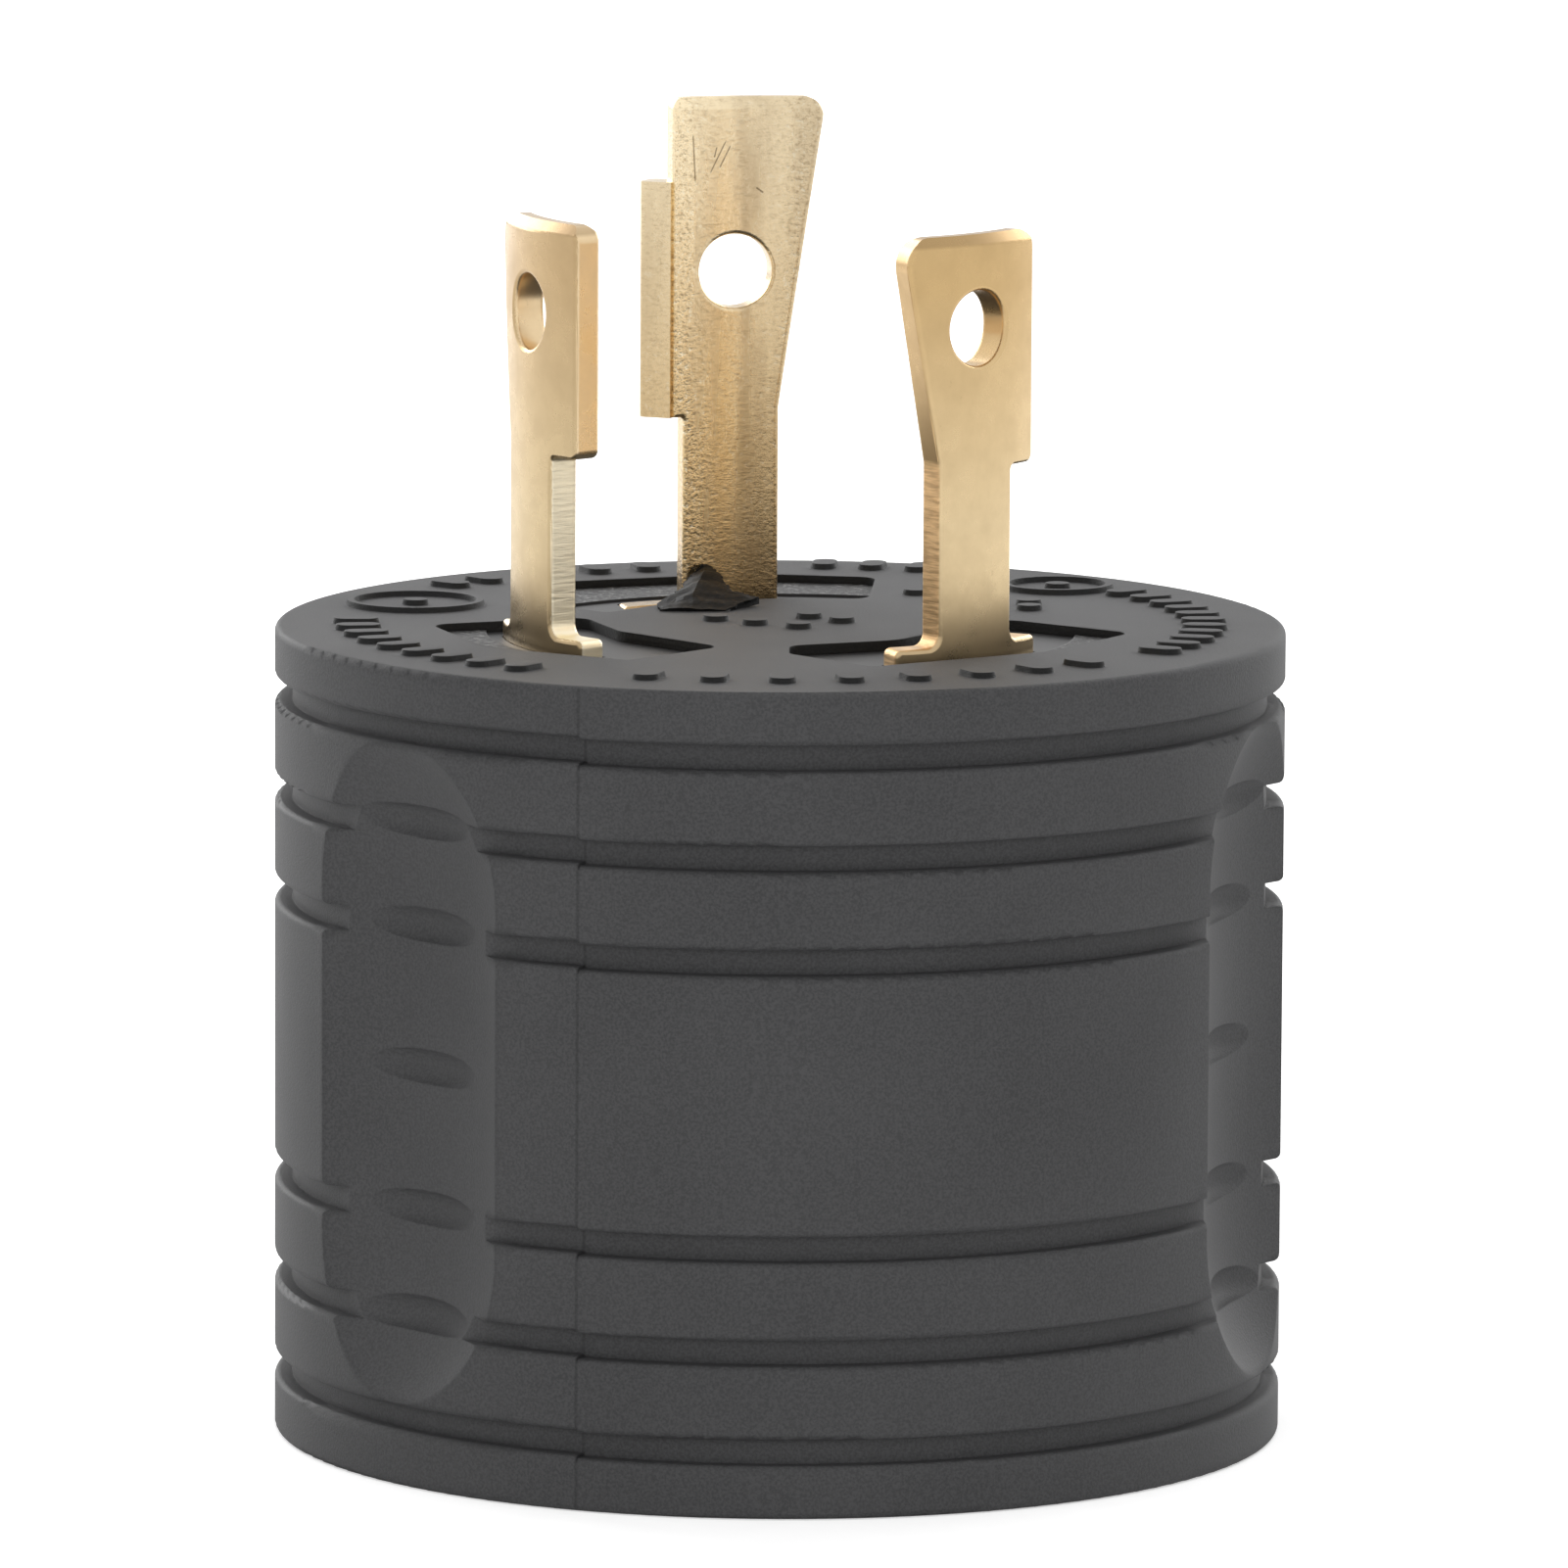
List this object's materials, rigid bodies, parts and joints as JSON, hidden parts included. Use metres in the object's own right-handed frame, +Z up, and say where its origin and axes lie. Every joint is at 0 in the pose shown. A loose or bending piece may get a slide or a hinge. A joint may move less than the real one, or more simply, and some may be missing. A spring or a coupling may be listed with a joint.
{
  "type": "rv power adapter",
  "caption": "Round trailer power adapter: curved locking blades on one end, an angled-slot socket on the other, and a ribbed grip with finger scoops.",
  "frame": {"origin": "on the body's axis, in the plane of the socket face that the adapter stands on", "axes": "+Z up along the plug's blades; +X to the right in the picture; +Y towards the ground blade at the back"},
  "size_m": [0.056, 0.056, 0.073],
  "materials": {
    "grip": "fine matte grain, dark charcoal",
    "carrier": "fine grain with smooth patches, dark charcoal",
    "core": "smooth satin, near black",
    "blade_brass": "pale satin with sheared edges",
    "contact_brass": "rolled strip, satin",
    "spring_steel": "drawn spring steel",
    "screw_steel": "zinc plated"
  },
  "bodies": {
    "root": {"grip_body": "grip", "blade_carrier": "carrier", "line_blade": "blade_brass", "neutral_blade": "blade_brass", "ground_blade": "blade_brass", "socket_core": "core", "line_contact": "contact_brass", "neutral_contact": "contact_brass", "ground_contact": "contact_brass", "line_contact_spring": "spring_steel", "neutral_contact_spring": "spring_steel", "ground_contact_ring": "spring_steel", "line_rivet": "contact_brass", "neutral_rivet": "contact_brass", "ground_rivet": "contact_brass", "core_screw_a": "screw_steel", "core_screw_b": "screw_steel", "core_screw_c": "screw_steel"}
  },
  "joints": []
}
